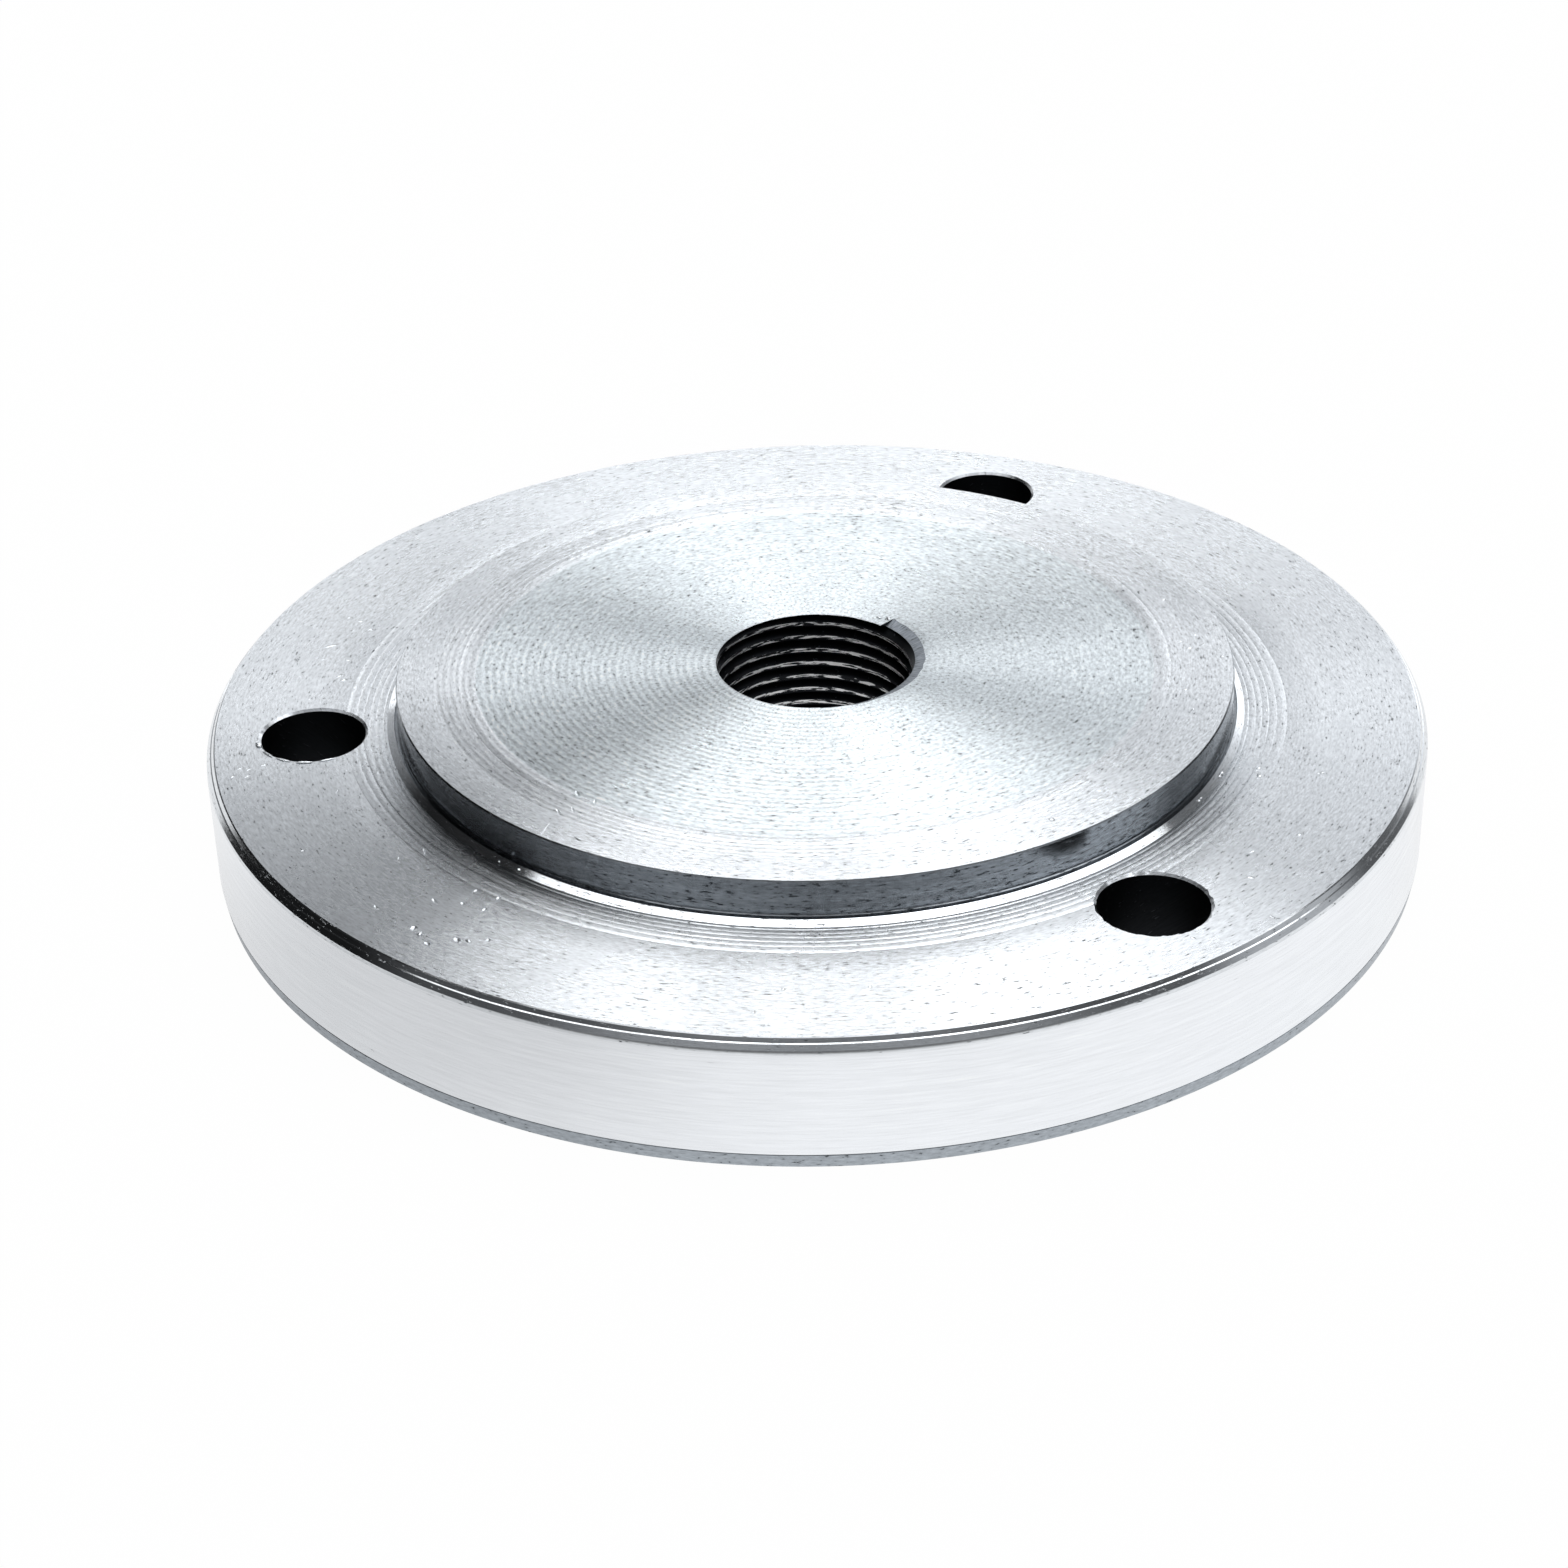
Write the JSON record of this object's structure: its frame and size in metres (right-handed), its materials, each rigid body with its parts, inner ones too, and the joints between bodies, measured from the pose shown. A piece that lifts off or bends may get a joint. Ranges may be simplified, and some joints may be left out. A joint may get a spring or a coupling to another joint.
{
  "type": "lathe chuck backplate",
  "caption": "Round turned steel adapter plate with a raised centring register, a threaded spindle bore and a circle of bolt holes, which carries a chuck on a small lathe.",
  "frame": {"origin": "on the spindle axis, in the plane of the flat back face", "axes": "+Z along the spindle axis from the back face towards the register, +Y towards the first bolt hole"},
  "size_m": [0.08, 0.08, 0.0114],
  "materials": {
    "turned_steel": "bright, turned on a lathe and left bare"
  },
  "bodies": {
    "root": {"backplate": "turned_steel"}
  },
  "joints": []
}
